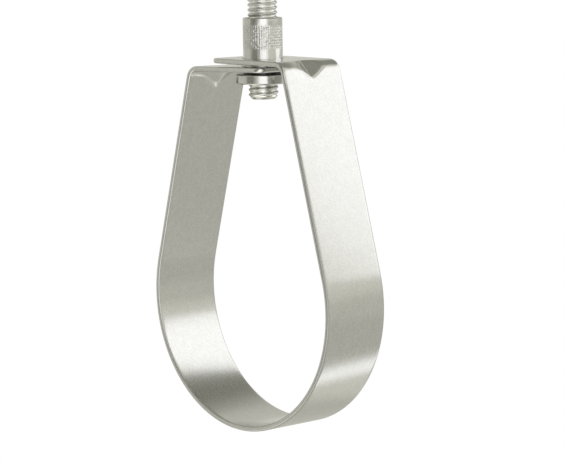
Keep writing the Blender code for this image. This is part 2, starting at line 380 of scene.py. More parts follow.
def closed_piece(name, sheets, sharp_angle, places=None):
    """One object from sheets of points, each an array of rows, columns and (x, y, z).

    places, if given, holds three more numbers for each point, kept as the attribute "place".
    """
    faces = []
    start = 0
    for sheet in sheets:
        faces.append(sheet_faces(sheet.shape[0], sheet.shape[1], start))
        start += sheet.shape[0] * sheet.shape[1]
    points = np.concatenate([sheet.reshape(-1, 3) for sheet in sheets])
    mesh = bpy.data.meshes.new(name)
    mesh.from_pydata(points, [], np.concatenate(faces))
    if places is not None:
        keep_place(mesh, np.concatenate([part.reshape(-1, 3) for part in places]))
    shell = bmesh.new()
    shell.from_mesh(mesh)
    bmesh.ops.remove_doubles(shell, verts=shell.verts, dist=MERGE_DISTANCE)
    bmesh.ops.dissolve_degenerate(shell, edges=shell.edges, dist=MERGE_DISTANCE)
    bmesh.ops.recalc_face_normals(shell, faces=shell.faces)
    open_edges = sum(1 for edge in shell.edges if len(edge.link_faces) != 2)
    volume = shell.calc_volume(signed=True)
    triangles = sum(len(face.verts) - 2 for face in shell.faces)
    shell.to_mesh(mesh)
    shell.free()
    mesh.shade_smooth()
    mesh.set_sharp_from_angle(angle=sharp_angle)
    piece = bpy.data.objects.new(name, mesh)
    bpy.context.scene.collection.objects.link(piece)
    print(name, triangles, "triangles,", open_edges, "open edges,", round(volume * 1e9, 1), "cubic mm")
    return piece


# %% [markdown]
# ## The strip's folded line
#
# The band is made as the factory makes it: a flat blank, with its holes and rounded
# corners, that is folded along one line. Seen from the front the line has seven stretches:
# tab, bend, arm, loop, arm, bend, tab. Each is straight or an arc, so its heading grows
# evenly along it, and a point on it is one chord away from the stretch's start.

# %% Lengths and turns of the seven stretches
LOWER_TAB_HEIGHT = TAB_ABOVE_LOOP_CENTRE + HALF_STRIP
UPPER_TAB_HEIGHT = TAB_ABOVE_LOOP_CENTRE + TAB_GAP + STRIP_THICKNESS + HALF_STRIP


def arm_and_bend(tab_height):
    """Arm length, and the left bend's centre from the loop's centre, for a tab at that height.

    From the loop's centre, go out to where the arm leaves it and in by the bend's radius.
    The bend's centre lies from there by the arm's length along the arm. The tab starts over
    that centre, and its slope carries its height on to the axis. That height grows evenly
    with the arm's length, so the length follows from it.
    """
    sine, cosine, climb = np.sin(ARM_LEAN), np.cos(ARM_LEAN), np.tan(TAB_RISE)
    foot = np.array([-cosine, sine]) * (LOOP_MID_RADIUS - BEND_MID_RADIUS)
    start = foot + BEND_MID_RADIUS * np.array([-np.sin(TAB_RISE), np.cos(TAB_RISE)])
    length = (tab_height - start[1] + start[0] * climb) / (cosine - sine * climb)
    return length, foot + length * np.array([sine, cosine])


def tab_length(bend):
    """Length along a sloping tab from its bend's end to its free end, past the axis."""
    return (TAB_REACH - bend[0] + BEND_MID_RADIUS * np.sin(TAB_RISE)) / np.cos(TAB_RISE)


lower_arm, lower_bend = arm_and_bend(LOWER_TAB_HEIGHT)
upper_arm, upper_bend = arm_and_bend(UPPER_TAB_HEIGHT)
bend_turn = np.pi / 2 - ARM_LEAN - TAB_RISE
loop_turn = np.pi + 2 * ARM_LEAN
LENGTHS = np.array(
    [
        tab_length(lower_bend),
        BEND_MID_RADIUS * bend_turn,
        lower_arm,
        LOOP_MID_RADIUS * loop_turn,
        upper_arm,
        BEND_MID_RADIUS * bend_turn,
        tab_length(upper_bend),
    ]
)
TURNS = np.array([0.0, bend_turn, 0.0, loop_turn, 0.0, bend_turn, 0.0])
CURVATURES = TURNS / LENGTHS
STATIONS = np.concatenate([[0.0], np.cumsum(LENGTHS)])
HEADINGS = np.pi + TAB_RISE + np.concatenate([[0.0], np.cumsum(TURNS)])
STRIP_LENGTH = STATIONS[-1]


def chord(length, heading, curvature):
    """The step along a straight or an arc, as (x, z).

    With a as half the angle turned, the chord is the length times sin(a) / a long, and it
    points at the heading half-way. On a straight, a is 0 and the factor is 1.
    """
    half_turn = curvature * length / 2
    reach = length * np.sinc(half_turn / np.pi)
    return np.stack([reach * np.cos(heading + half_turn), reach * np.sin(heading + half_turn)], axis=-1)


PLACES = [np.array([TAB_REACH, LOOP_CENTRE_Z + LOWER_TAB_HEIGHT + TAB_REACH * np.tan(TAB_RISE)])]
for length, heading, curvature in zip(LENGTHS, HEADINGS, CURVATURES):
    PLACES.append(PLACES[-1] + chord(length, heading, curvature))
PLACES = np.array(PLACES)
print("blank", round(STRIP_LENGTH * 1000, 2), "mm long; the upper tab ends at", PLACES[-1] * 1000, "mm")

# %% [markdown]
# ## Folding
#
# A fold could be made with a modifier at each bend, but the bends would then drift along the
# strip as its length changes. Here one function folds every point of the flat blank at once:
# the point's length along the blank gives its stretch, and the heading there gives the
# direction of the strip's outer side.

# %% Folding the blank


def fold(flat):
    """Fold flat points (along, across, out) into (x, y, z).

    The middle line gives x and z at the length along. The outer side lies to the right of
    the heading, and out is measured that way.
    """
    along, across, out = np.moveaxis(flat, -1, 0)
    stretch = np.clip(np.searchsorted(STATIONS, along, side="right") - 1, 0, len(LENGTHS) - 1)
    step = along - STATIONS[stretch]
    heading = HEADINGS[stretch] + CURVATURES[stretch] * step
    middle = PLACES[stretch] + chord(step, HEADINGS[stretch], CURVATURES[stretch])
    x = middle[..., 0] + out * np.sin(heading)
    z = middle[..., 1] - out * np.cos(heading)
    return np.stack([x, across, z], axis=-1)


print("the blank's middle folds to", fold(np.array([STRIP_LENGTH / 2, 0.0, 0.0])) * 1000, "mm")

# %% [markdown]
# ## Ribbing
#
# On the real hanger a press has driven a V-shaped rib into each top bend at 45 degrees, which
# keeps the bend from opening under the pipe's weight. It could be cut out, but a cut leaves
# no metal behind it. Here a wedge does what the press does: metal that lies past the wedge's
# faces is pushed back to them with a soft blend, on the inner side as on the outer one. The
# inner side goes in a little further and with a wider blend, and the outer side fades more
# softly towards the front. The upper bend's rib stands half a millimetre to the front.

# %% Pressing the ribs
RIB_DEPTH = 0.00178
RIB_HALF_WIDTH = 0.0053
RIB_PRESS_ANGLE = np.radians(45.0)
RIB_EDGE_RADIUS = 0.00110
RIB_OUTER_BLEND = 0.00045
RIB_INNER_BLEND = 0.00120
RIB_FRONT_BLEND = 0.00120
RIB_FRONT_START = 0.0008
RIB_FRONT_SPAN = 0.0025
RIB_INNER_EXTRA = 0.00027
UPPER_RIB_SHIFT = -0.0005
RIB_SLOPE = RIB_DEPTH / RIB_HALF_WIDTH
RIB_OUTER_LEVEL = BEND_INNER_RADIUS + STRIP_THICKNESS - RIB_DEPTH
RIB_INNER_LEVEL = RIB_OUTER_LEVEL - STRIP_THICKNESS * np.hypot(1.0, RIB_SLOPE) - RIB_INNER_EXTRA


def soft_minimum(first, second, width):
    """The smaller of two values, rounded off by a parabola where they differ by less than width."""
    near = np.clip(1 - np.abs(first - second) / width, 0, 1)
    return np.minimum(first, second) - near**2 * width / 4


def press_rib(points, out, side, bend, shift):
    """Push the metal of one bend back to the faces of a wedge.

    A point's reach is its distance from the bend's centre along the press direction. The
    wedge stands at a level that rises evenly with the distance from the strip's middle,
    rounded at its edge. A point that reaches past the wedge is moved back to it. The blend
    is wider on the inner side, and grows wider towards the front on the outer side.
    """
    direction = np.array([side * np.cos(RIB_PRESS_ANGLE), 0.0, np.sin(RIB_PRESS_ANGLE)])
    centre = np.array([-side * bend[0], 0.0, LOOP_CENTRE_Z + bend[1]])
    reach = (points - centre) @ direction
    sunk = (HALF_STRIP - out) / STRIP_THICKNESS
    level = RIB_OUTER_LEVEL + (RIB_INNER_LEVEL - RIB_OUTER_LEVEL) * sunk
    across = points[..., 1] - shift
    wedge = level + RIB_SLOPE * (np.hypot(across, RIB_EDGE_RADIUS) - RIB_EDGE_RADIUS / 2)
    blend = RIB_OUTER_BLEND + (RIB_INNER_BLEND - RIB_OUTER_BLEND) * sunk
    front = np.clip((-across - RIB_FRONT_START) / RIB_FRONT_SPAN, 0, 1)
    blend = blend + RIB_FRONT_BLEND * front * (1 - sunk)
    moved = soft_minimum(reach, wedge, blend) - reach
    return points + moved[..., None] * direction


def shape_band(flat):
    """Fold a sheet of flat points and press both ribs into it."""
    points = fold(flat)
    points = press_rib(points, flat[..., 2], -1, lower_bend, 0.0)
    return press_rib(points, flat[..., 2], 1, upper_bend, UPPER_RIB_SHIFT)


print("ribs pressed", RIB_DEPTH * 1000, "mm deep at", round(float(np.degrees(RIB_PRESS_ANGLE))), "degrees")

# %% [markdown]
# ## The flat blank
#
# The strip comes off a coil, flat and even. The middle of the blank is a plain sheet of rows
# and columns. If all of them stood as close as the ribs need, the blank would have several
# times as many faces. So the rows are close at the bends only, and wider on the arms and the
# loop, and the columns are close over the ribs.

# %% Rows and columns of the middle sheet
JOIN = 2 * TAB_REACH
INSET_WIDTH = HALF_WIDTH - RIM_RADIUS
CLOSE_STEP = 0.00027
WIDE_STEP = 0.00125
EDGE_STEP = 0.0007
ARM_MARGIN = 0.0070
TAB_MARGIN = 0.4 * ARM_MARGIN
RIB_SPAN = 1.15 * RIB_HALF_WIDTH


def steps(start, end, size):
    """Evenly spaced values from start up to, and without, end, about size apart."""
    count = max(1, int(np.ceil((end - start) / size)))
    return np.linspace(start, end, count, endpoint=False)


def blank_rows():
    """Stations along the blank between its two tab ends, close near the bends."""
    marks = [JOIN, STATIONS[1] - TAB_MARGIN, STATIONS[2] + ARM_MARGIN]
    marks += [STATIONS[5] - ARM_MARGIN, STATIONS[6] + TAB_MARGIN, STRIP_LENGTH - JOIN]
    sizes = [WIDE_STEP, CLOSE_STEP, WIDE_STEP, CLOSE_STEP, WIDE_STEP]
    parts = [steps(low, high, size) for low, high, size in zip(marks, marks[1:], sizes)]
    return np.concatenate(parts + [[marks[-1]]])


def blank_columns():
    """Stations across the blank, close over the ribs."""
    close = steps(0.0, RIB_SPAN, CLOSE_STEP)
    half = np.concatenate([close, steps(RIB_SPAN, INSET_WIDTH, EDGE_STEP), [INSET_WIDTH]])
    return np.concatenate([-half[:0:-1], half])


rows, columns = blank_rows(), blank_columns()
print("middle sheet:", len(rows), "rows by", len(columns), "columns")

# %% [markdown]
# ## A tab's end
#
# Each tab ends in rounded corners, and has a round hole for the nut. A hole could be cut with
# a Boolean, which leaves long thin faces round it. Here the tab's end is a sheet of spokes,
# each a straight line from the hole's edge out to the border, so the hole needs no cutting.

# %% Borders of a tab's end
CORNER_STEPS = 10
END_STEPS = 14
SIDE_STEPS = 18
SPOKE_STEPS = 9


def tab_border():
    """Border of a tab's end and its outward directions, each as (from the free end, across).

    It runs from the join along one side, round a corner, along the free end, round the
    other corner and back along the other side. It lies inside the real edge by the rim's radius.
    """
    inner = TAB_CORNER_RADIUS - RIM_RADIUS
    corner_across = HALF_WIDTH - TAB_CORNER_RADIUS
    side = np.linspace(JOIN, TAB_CORNER_RADIUS, SIDE_STEPS, endpoint=False)
    turn = np.linspace(-np.pi / 2, -np.pi, CORNER_STEPS, endpoint=False)
    end = np.linspace(-corner_across, 0.0, END_STEPS // 2, endpoint=False)
    near = [
        np.stack([side, np.full_like(side, -INSET_WIDTH)], axis=-1),
        np.stack([TAB_CORNER_RADIUS + inner * np.cos(turn), inner * np.sin(turn) - corner_across], axis=-1),
        np.stack([np.full_like(end, RIM_RADIUS), end], axis=-1),
    ]
    outward = [
        np.tile([0.0, -1.0], (len(side), 1)),
        np.stack([np.cos(turn), np.sin(turn)], axis=-1),
        np.tile([-1.0, 0.0], (len(end), 1)),
    ]
    half, half_outward = np.concatenate(near), np.concatenate(outward)
    middle = np.array([[RIM_RADIUS, 0.0]])
    mirror = np.array([1.0, -1.0])
    border = np.concatenate([half, middle, half[::-1] * mirror])
    return border, np.concatenate([half_outward, [[-1.0, 0.0]], half_outward[::-1] * mirror])


def spokes(border):
    """Spokes from the hole's edge to the closed border of a tab's end, as (spoke, step, 2).

    Every spoke is a straight line away from the hole's centre, cut into even steps.
    """
    centre = np.array([TAB_REACH / np.cos(TAB_RISE), 0.0])
    away = border - centre
    distance = np.linalg.norm(away, axis=-1, keepdims=True)
    direction = away / distance
    share = np.linspace(0.0, 1.0, SPOKE_STEPS + 1)[None, :, None]
    hole = HOLE_RADIUS + RIM_RADIUS
    return centre + direction[:, None, :] * (hole + (distance[:, None, :] - hole) * share), direction


tab_edge, tab_outward = tab_border()
join_line = np.stack([np.full(len(columns) - 2, JOIN), columns[-2:0:-1]], axis=-1)
tab_ring = np.concatenate([tab_edge, join_line, tab_edge[:1]])
tab_spokes, spoke_directions = spokes(tab_ring)
print("tab end:", len(tab_ring) - 1, "spokes of", SPOKE_STEPS, "steps")

# %% [markdown]
# ## The faces and the rims
#
# Shears leave an edge that is a little rounded where it meets each face. A Bevel could round
# it after the fold, but it would have to find its edges among the ribs. So the rounding is
# made on the flat blank: along every border a rim with two rounded corners closes the faces.

# %% Faces and rims of the blank
RIM_STEPS = 6
BAND_SHARP_ANGLE = np.radians(38)


def with_out(flat, out):
    """Add the third coordinate, out from the strip's middle, to flat points."""
    return np.concatenate([flat, np.full(flat.shape[:-1] + (1,), out)], axis=-1)


def mirrored_along(flat):
    """The same points measured from the blank's other end."""
    return np.concatenate([STRIP_LENGTH - flat[..., :1], flat[..., 1:]], axis=-1)


def rim(border, outward):
    """The rounded rim along a border: a quarter round, the wall, and another quarter round.

    Each row is the border moved outwards by the rim radius times the sine of an angle, at a
    height that falls with its cosine, so the rows leave one face and reach the other.
    """
    angle = np.linspace(0.0, np.pi / 2, RIM_STEPS + 1)
    offset = RIM_RADIUS * np.sin(angle)
    height = HALF_STRIP - RIM_RADIUS + RIM_RADIUS * np.cos(angle)
    offsets = np.concatenate([offset, offset[::-1]])[:, None, None]
    heights = np.concatenate([height, -height[::-1]])[:, None, None]
    flat = border[None] + outward[None] * offsets
    return np.concatenate([flat, np.broadcast_to(heights, flat.shape[:-1] + (1,))], axis=-1)


def blank_sheets():
    """Every sheet of the flat blank: both faces, the outer rim and the two holes' rims."""
    middle = np.stack(np.broadcast_arrays(rows[:, None], columns[None, :]), axis=-1)
    sheets = []
    for out in (HALF_STRIP, -HALF_STRIP):
        sheets += [with_out(face, out) for face in (middle, tab_spokes, mirrored_along(tab_spokes))]
    side = np.stack([rows[1:-1], np.full(len(rows) - 2, INSET_WIDTH)], axis=-1)
    side_outward = np.tile([0.0, 1.0], (len(side), 1))
    flip = np.array([1.0, -1.0])
    upper_edge = mirrored_along(tab_edge)[::-1]
    upper_outward = (tab_outward * [-1.0, 1.0])[::-1]
    loop = [tab_edge, side, upper_edge, side[::-1] * flip, tab_edge[:1]]
    loop_outward = [tab_outward, side_outward, upper_outward, side_outward * flip, tab_outward[:1]]
    sheets.append(rim(np.concatenate(loop), np.concatenate(loop_outward)))
    hole_rim = rim(tab_spokes[:, 0], -spoke_directions)
    return sheets + [hole_rim, mirrored_along(hole_rim)]


flat_sheets = blank_sheets()
band_sheets = [shape_band(sheet) for sheet in flat_sheets]
band = closed_piece("hanger_band", band_sheets, BAND_SHARP_ANGLE, flat_sheets)

# %% [markdown]
# ## The thread
#
# A rolled thread is a height that repeats with each pitch along the rod and slides by one
# pitch with each turn round it. One function gives that height for the rod and for the nut,
# so the two stay in mesh. The sheets' rows follow the helix, so a crest is one clean line.
# At a flat end the rows are cut off by holding their height there, and merging the points
# that fall together leaves a tidy border. The depth is a little over half the standard's 0.61
# of the pitch, because rounded crests and plating leave the rod's outline that smooth.

# %% One thread for the rod and the nut
THREAD_DEPTH = 0.34 * THREAD_PITCH
THREAD_FLAT = 0.02
FIRST_CREST_ABOVE_END = 0.00040
THREAD_CREST_Z = rod_low[2] + FIRST_CREST_ABOVE_END
THREAD_ROWS = 12
MESH_CLEARANCE = 0.00012


def thread_drop(angle, height):
    """How deep the thread lies below its crests, as a share: 0 on a crest and 1 in a root.

    The distance from the nearest crest, in pitches, is cut to the flank between the two
    flats and then eased to a smooth step, as rolling and plating round a thread.
    """
    turns = (height - THREAD_CREST_Z) / THREAD_PITCH - angle / (2 * np.pi)
    from_crest = np.abs(turns - np.round(turns))
    flank = np.clip((from_crest - THREAD_FLAT / 2) / (0.5 - THREAD_FLAT), 0, 1)
    return flank**2 * (3 - 2 * flank)


def helix_rows(low, high, angle):
    """Heights of rows that climb one pitch in a turn, held between low and high."""
    count = int(np.ceil((high - low) / THREAD_PITCH + 1)) * THREAD_ROWS
    first = low - THREAD_PITCH
    row = first + THREAD_PITCH / THREAD_ROWS * np.arange(count + 1)[:, None]
    return np.clip(row + THREAD_PITCH * angle / (2 * np.pi), low, high)


def turned_sheet(radius, height, angle):
    """Points at a radius and height about the Z axis, at each angle."""
    radius, height, angle = np.broadcast_arrays(radius, height, angle)
    return np.stack([radius * np.cos(angle), radius * np.sin(angle), height], axis=-1)


def turned_profile(profile, angle):
    """The sheet that a profile of (radius, height) points sweeps about the Z axis."""
    profile = np.array(profile)
    return turned_sheet(profile[:, :1], profile[:, 1:], angle[None, :])


print("thread:", round((rod_high[2] - rod_low[2]) / THREAD_PITCH, 1), "turns on the rod")

# %% [markdown]
# ## The threaded rod
#
# Each end is chamfered, so the first thread runs out to nothing there: the radius is the
# smaller of the thread's and the chamfer's. A flat disk closes each end.

# %% The rod
ROD_COLUMNS = 96
ROD_END_RINGS = (1.0, 0.7, 0.4, 0.0)
ROD_SHARP_ANGLE = np.radians(40)


def make_rod():
    """The rod's threaded skin, with a flat disk at each end."""
    angle = np.linspace(0.0, 2 * np.pi, ROD_COLUMNS + 1)
    low, high = rod_low[2], rod_high[2]
    height = helix_rows(low, high, angle[None, :])
    from_end = np.minimum(height - low, high - height)
    thread = ROD_RADIUS - THREAD_DEPTH * thread_drop(angle[None, :], height)
    radius = np.minimum(thread, ROD_RADIUS - ROD_CHAMFER + from_end)
    sheets = [turned_sheet(radius, height, angle[None, :])]
    share = np.array(ROD_END_RINGS)[:, None]
    for end, row in ((low, 0), (high, -1)):
        sheets.append(turned_sheet(radius[row][None, :] * share, end, angle[None, :]))
    return closed_piece("hanging_rod", sheets, ROD_SHARP_ANGLE)


rod = make_rod()

# %% [markdown]
# ## The knurled nut
#
# The nut is turned from bar: a flange, a barrel and a threaded bore. A knurling wheel has
# rolled rows of small square cushions into the middle of the barrel, so that fingers can
# turn it. A wheel never presses evenly, so the cushions differ a little in depth and tilt,
# which is what breaks the long reflections there into dots.

# %% The knurl
KNURL_TEETH = 47
KNURL_ROWS = 9
KNURL_BELOW_TOP = 0.0022
KNURL_TOP = nut_high[2] - KNURL_BELOW_TOP
KNURL_HEIGHT = 0.0078
KNURL_ROUND_DEPTH = 0.00015
KNURL_UPRIGHT_DEPTH = 0.00009
KNURL_TILT = 0.00006
KNURL_SUNK = 0.3
KNURL_UNEVENNESS = 0.45
KNURL_FADE_RATE = 3
STEPS_PER_CELL = 6
COUNTING_HAIR = 1e-9
# Steps in radians for a row and a column, one pair for each thing that differs between cells.
PRESS_STEPS = (2.4, 3.9)
ROUND_TILT_STEPS = (4.1, 2.6)
DOWN_TILT_STEPS = (3.5, 4.4)
WANDER = 0.7
WANDER_STEP = 3.1


def cell_number(row, column, cell_steps):
    """A number from -1 to 1 for each cell that follows no visible rule: a sine of large steps."""
    wander = WANDER * np.sin(WANDER_STEP * row * column)
    return np.sin(cell_steps[0] * row + cell_steps[1] * column + wander)


def knurled_sheet(angle):
    """The knurled stretch of the barrel, from its top down.

    Measured in cells from a cushion's middle, u round and v down, its surface lies lower by
    twice u squared and twice v squared, each times its own depth. The cushion's press makes
    that more or less, and its tilts add a slope. All of it fades out at the top and bottom.
    A hair is added before cells are counted, so that rounding moves no border to another cell.
    """
    down = np.linspace(0.0, KNURL_ROWS, KNURL_ROWS * STEPS_PER_CELL + 1)[:, None]
    turned = angle[None, :] / (2 * np.pi) * KNURL_TEETH
    row = np.minimum(np.floor(down + COUNTING_HAIR), KNURL_ROWS - 1)
    column = np.floor(turned + COUNTING_HAIR)
    u, v = turned - column - 0.5, down - row - 0.5
    column = column % KNURL_TEETH
    press = 1 + KNURL_UNEVENNESS * cell_number(row, column, PRESS_STEPS)
    cushion = press * 2 * (KNURL_ROUND_DEPTH * u**2 + KNURL_UPRIGHT_DEPTH * v**2)
    round_tilt = cell_number(row, column, ROUND_TILT_STEPS) * u
    tilt = round_tilt + cell_number(row, column, DOWN_TILT_STEPS) * v
    fade = np.clip(np.minimum(down, KNURL_ROWS - down) * KNURL_FADE_RATE, 0, 1)
    radius = BARREL_RADIUS - fade * (cushion + KNURL_TILT * (KNURL_SUNK + tilt))
    height = KNURL_TOP - KNURL_HEIGHT * down / KNURL_ROWS
    return turned_sheet(radius, height, angle[None, :])


print("knurl:", KNURL_ROWS, "rows of", KNURL_TEETH, "cushions")

# %% The nut
NUT_CHAMFER = 0.0003
BORE_CHAMFER = 0.0006
BORE_RADIUS = 0.0050625
MINOR_SHARE = 0.80
NUT_SHARP_ANGLE = np.radians(38)


def make_nut():
    """The nut's outside in three sheets from the bore's top to its bottom, and the threaded bore."""
    angle = np.linspace(0.0, 2 * np.pi, KNURL_TEETH * STEPS_PER_CELL + 1)
    low, high = nut_low[2], nut_high[2]
    flange_top = low + FLANGE_THICKNESS
    mouth = BORE_RADIUS + BORE_CHAMFER
    above = [
        (mouth, high),
        (BARREL_RADIUS - NUT_CHAMFER, high),
        (BARREL_RADIUS, high - NUT_CHAMFER),
        (BARREL_RADIUS, KNURL_TOP),
    ]
    below = [
        (BARREL_RADIUS, KNURL_TOP - KNURL_HEIGHT),
        (BARREL_RADIUS, flange_top),
        (FLANGE_RADIUS - NUT_CHAMFER, flange_top),
        (FLANGE_RADIUS, flange_top - NUT_CHAMFER),
        (FLANGE_RADIUS, low + NUT_CHAMFER),
        (FLANGE_RADIUS - NUT_CHAMFER, low),
        (mouth, low),
    ]
    height = helix_rows(low, high, angle[None, :])
    from_end = np.minimum(height - low, high - height)
    drop = np.minimum(thread_drop(angle[None, :], height), MINOR_SHARE)
    thread = ROD_RADIUS + MESH_CLEARANCE - THREAD_DEPTH * drop
    radius = np.maximum(thread, mouth - from_end)
    sheets = [
        turned_profile(above, angle),
        knurled_sheet(angle),
        turned_profile(below, angle),
        turned_sheet(radius, height, angle[None, :]),
    ]
    return closed_piece("knurled_swivel_nut", sheets, NUT_SHARP_ANGLE)


nut = make_nut()

# %% [markdown]
# ## The finishes
#
# All three pieces are zinc-plated: a slightly warm, light grey metal. Such a finish could be
# a photograph wrapped round the piece, but noise worked out in the material is as sharp from
# close by as from afar. Every noise here runs from 0 to 1, and each value that it drives is
# given as the two ends of its range.

# %% Nodes that the finishes share
NOISE_RANGE = (0.0, 1.0)
SPECKLE_SCALE = 1500.0
SPECKLE_DETAIL = 2.0


def add_noise(tree, vector, scale, detail):
    """A noise texture on a vector; returns its output from 0 to 1."""
    node = tree.nodes.new("ShaderNodeTexNoise")
    node.inputs["Scale"].default_value = scale
    node.inputs["Detail"].default_value = detail
    tree.links.new(vector, node.inputs["Vector"])
    return node.outputs["Fac"]


def add_grain(tree, vector, scales, detail):
    """A noise texture whose grain has its own scale along each axis."""
    return add_noise(tree, vector_node(tree, "MULTIPLY", vector, scales), 1.0, detail)


def add_bump(tree, height, distance, strength):
    """A bump from a height; returns the normal."""
    node = tree.nodes.new("ShaderNodeBump")
    node.inputs["Distance"].default_value = distance
    node.inputs["Strength"].default_value = strength
    tree.links.new(height, node.inputs["Height"])
    return node.outputs["Normal"]


def away_from(tree, value, middle):
    """How far a value lies from a middle value, on either side of it."""
    return math_node(tree, "ABSOLUTE", math_node(tree, "SUBTRACT", value, middle))


def new_metal(name):
    """A material with a fully metallic shader; returns it with its node tree and shader."""
    material = bpy.data.materials.new(name)
    material.use_nodes = True
    tree = material.node_tree
    shader = tree.nodes["Principled BSDF"]
    shader.inputs["Metallic"].default_value = 1.0
    return material, tree, shader


print("speckle", round(1000 / SPECKLE_SCALE, 2), "mm across on every piece")

# %% [markdown]
# ## The strip's finish
#
# The strip has a fine speckle from its rolled surface, its polish drifts a little from place
# to place, and the rolling left a faint grain along it. The rounded corners of its long edges
# are duller, and darker with painted shade, the outer ones more than the inner ones, up to
# where the bends begin. A grainy patch of painted shade lies low on the inside of the loop.
# All of it reads the flat blank's own coordinates, kept as an attribute: along the strip,
# across it and out from its middle. So it follows the folds as the metal does, which a
# pattern fixed in space would not.

# %% The rims' dullness and painted shade, and the painted shade inside the loop
EDGE_STARTS = (0.02 * RIM_RADIUS, 0.20 * RIM_RADIUS)
EDGE_ENDS = (0.60 * RIM_RADIUS, 0.95 * RIM_RADIUS)
EDGE_FADE = 0.006
# Painted shade low on the inside of the loop: a grainy darker patch in the colour.
LOOP_SHADE_ALONG = STATIONS[3] + LOOP_MID_RADIUS * (ARM_LEAN + np.radians(56.0))
LOOP_SHADE_REACH = (0.0005, 0.0075)
LOOP_SHADE_OUT = (-0.0007, -0.0004)
LOOP_SHADE_GRAIN_SCALE = 1300.0
LOOP_SHADE_GRAIN_DETAIL = 3.0
LOOP_SHADE_GRAIN_EDGE = (0.36, 0.52)
LOOP_SHADE_GRAIN_COVER = (0.15, 1.0)


# This mask gives the rims both their dullness and their painted shade.
def rim_dullness_and_shade(tree, parts):
    """1 on the rounded corners of the long edges, and 0 elsewhere and on the bends and tabs."""
    inward = math_node(tree, "SUBTRACT", HALF_WIDTH, math_node(tree, "ABSOLUTE", parts["Y"]))
    starts = range_node(tree, inward, EDGE_STARTS, (0.0, 1.0), "SMOOTHSTEP")
    ends = range_node(tree, inward, EDGE_ENDS, (1.0, 0.0), "SMOOTHSTEP")
    bend_start = STRIP_LENGTH / 2 - STATIONS[2]
    from_middle = away_from(tree, parts["X"], STRIP_LENGTH / 2)
    straight = range_node(tree, from_middle, (bend_start - EDGE_FADE, bend_start), (1.0, 0.0), "SMOOTHSTEP")
    return product_of(tree, starts, ends, straight)


def painted_loop_shade(tree, flat, parts):
    """1 where the grainy painted shade on the loop's inside is strongest, and 0 beyond its reach."""
    painted_shade = range_node(tree, away_from(tree, parts["X"], LOOP_SHADE_ALONG), LOOP_SHADE_REACH, (1.0, 0.0), "SMOOTHSTEP")
    inside = range_node(tree, parts["Z"], LOOP_SHADE_OUT, (1.0, 0.0))
    grain = add_noise(tree, flat, LOOP_SHADE_GRAIN_SCALE, LOOP_SHADE_GRAIN_DETAIL)
    patches = range_node(tree, grain, LOOP_SHADE_GRAIN_EDGE, LOOP_SHADE_GRAIN_COVER, "SMOOTHSTEP")
    return product_of(tree, painted_shade, inside, patches)


print("oil smear", round((LOOP_SHADE_ALONG - STATIONS[3]) * 1000, 1), "mm down the loop from its first arm")

# %% The strip's metal
STRIP_COLOUR = (0.611, 0.610, 0.590)
STRIP_SPECKLE = (0.87, 1.13)
MOTTLE_SCALE = 480.0
MOTTLE_DETAIL = 3.0
STRIP_MOTTLE = (0.94, 1.06)
ROLLING_SCALES = (40.0, 900.0, 40.0)
ROLLING_DETAIL = 2.0
STRIP_ROLLING = (0.985, 1.015)
LOOP_SHADE_LEVEL = 0.80
RIM_SHADE_OUT = (-0.0002, 0.0002)
RIM_PAINTED_SHADE = (0.12, 0.45)
EDGE_DULLNESS = 0.25
DRIFT_SCALE = 45.0
DRIFT_DETAIL = 2.0
STRIP_ROUGHNESS = (0.17, 0.21)
SPECKLE_ROUGHNESS = (-0.02, 0.02)
STRIP_RELIEF = 0.000010
STRIP_RELIEF_STRENGTH = 0.6


def strip_finish():
    """Rolled, zinc-plated strip with a fine speckle, a slow drift of colour and polish, and painted shade on
    its rims and low inside its loop.
    """
    material, tree, shader = new_metal("plated_strip")
    flat = kept_place(tree)
    parts = split(tree, flat)
    speckle = add_noise(tree, flat, SPECKLE_SCALE, SPECKLE_DETAIL)
    mottle = add_noise(tree, flat, MOTTLE_SCALE, MOTTLE_DETAIL)
    drift = add_noise(tree, flat, DRIFT_SCALE, DRIFT_DETAIL)
    rolling = add_grain(tree, flat, ROLLING_SCALES, ROLLING_DETAIL)
    edge = rim_dullness_and_shade(tree, parts)
    # Painted shade low inside the loop darkens the colour there.
    loop_shade = painted_loop_shade(tree, flat, parts)
    # Painted shade on the rims' rounded corners, darker towards the outer side; the extra roughness there is
    # their dullness.
    darker = range_node(tree, parts["Z"], RIM_SHADE_OUT, RIM_PAINTED_SHADE)
    colour = add_tint(
        tree,
        STRIP_COLOUR,
        math_node(tree, "SUBTRACT", 1.0, product_of(tree, edge, darker)),
        range_node(tree, loop_shade, (0.0, 1.0), (1.0, LOOP_SHADE_LEVEL)),
        range_node(tree, speckle, NOISE_RANGE, STRIP_SPECKLE),
        range_node(tree, mottle, NOISE_RANGE, STRIP_MOTTLE),
        range_node(tree, rolling, NOISE_RANGE, STRIP_ROLLING),
    )
    tree.links.new(colour, shader.inputs["Base Color"])
    rough = range_node(tree, drift, NOISE_RANGE, STRIP_ROUGHNESS)
    rough = math_node(tree, "ADD", rough, range_node(tree, speckle, NOISE_RANGE, SPECKLE_ROUGHNESS))
    rough = math_node(tree, "ADD", rough, range_node(tree, edge, (0.0, 1.0), (0.0, EDGE_DULLNESS)))
    tree.links.new(rough, shader.inputs["Roughness"])
    relief = add_bump(tree, speckle, STRIP_RELIEF, STRIP_RELIEF_STRENGTH)
    tree.links.new(relief, shader.inputs["Normal"])
    return material


band.data.materials.append(strip_finish())
print("strip finish on", band.name)

# %% [markdown]
# ## The turned finishes
#
# The nut is turned and the rod is rolled, so both have fine rings round their axis under the
# same speckle. The knurl is duller than the rest of the nut, and the narrow gap between the
# flange and the tab above it is painted black as shade. The thread's crests are painted
# darker than its roots, as shade. A painted map could hold that shade, but the thread's own
# formula gives it exactly: the finish counts the same turns as the shape does.

